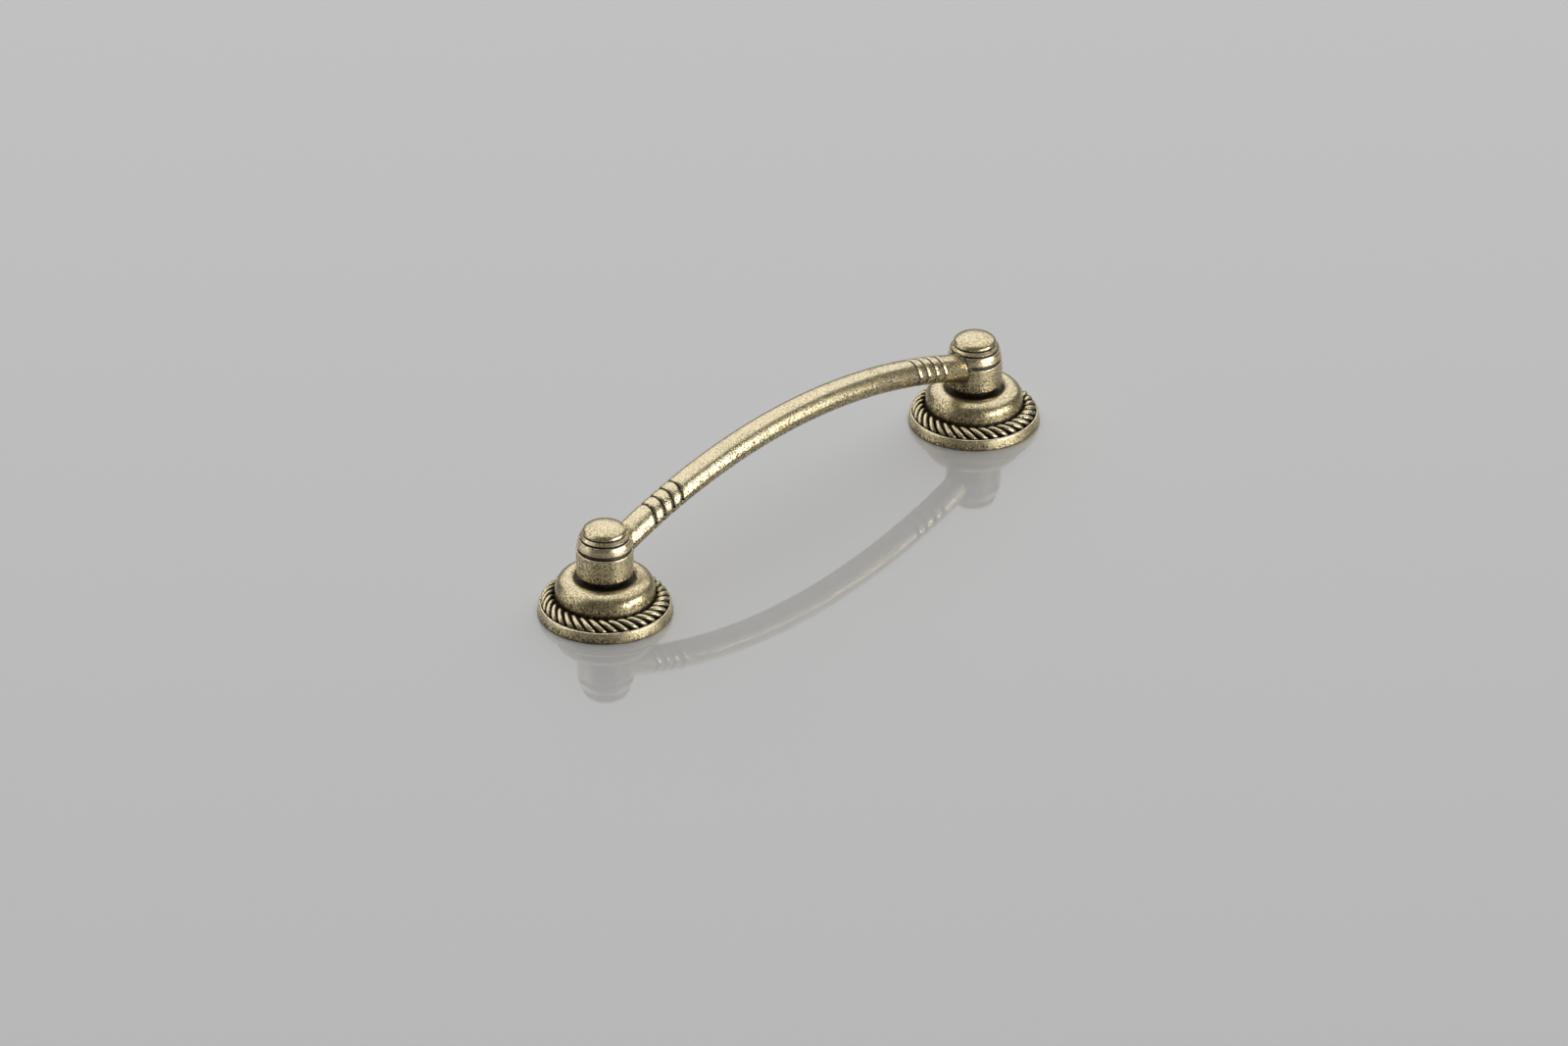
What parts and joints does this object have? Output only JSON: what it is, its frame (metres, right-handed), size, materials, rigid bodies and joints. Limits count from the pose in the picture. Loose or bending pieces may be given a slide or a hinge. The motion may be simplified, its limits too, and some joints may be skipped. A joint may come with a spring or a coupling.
{
  "type": "cabinet pull handle",
  "caption": "Arched bow pull on two turned posts, each post seated in a dished round rosette with a rope ring, in aged brass.",
  "frame": {"origin": "midway between the two posts, on the plane of the door or drawer front that the rosettes sit on", "axes": "+X from the left post to the right post along the bow, +Z away from the door front, +Y across the bow by the right-hand rule"},
  "size_m": [0.16, 0.032, 0.0307],
  "materials": {
    "antique_brass": "aged brass plating, satin, near-black patina in the grooves",
    "rosette_brass": "aged brass plating, satin, near-black patina between the rope strands"
  },
  "bodies": {
    "root": {"bow_handle": "antique_brass", "rosette_left": "rosette_brass", "rosette_right": "rosette_brass"}
  },
  "joints": []
}
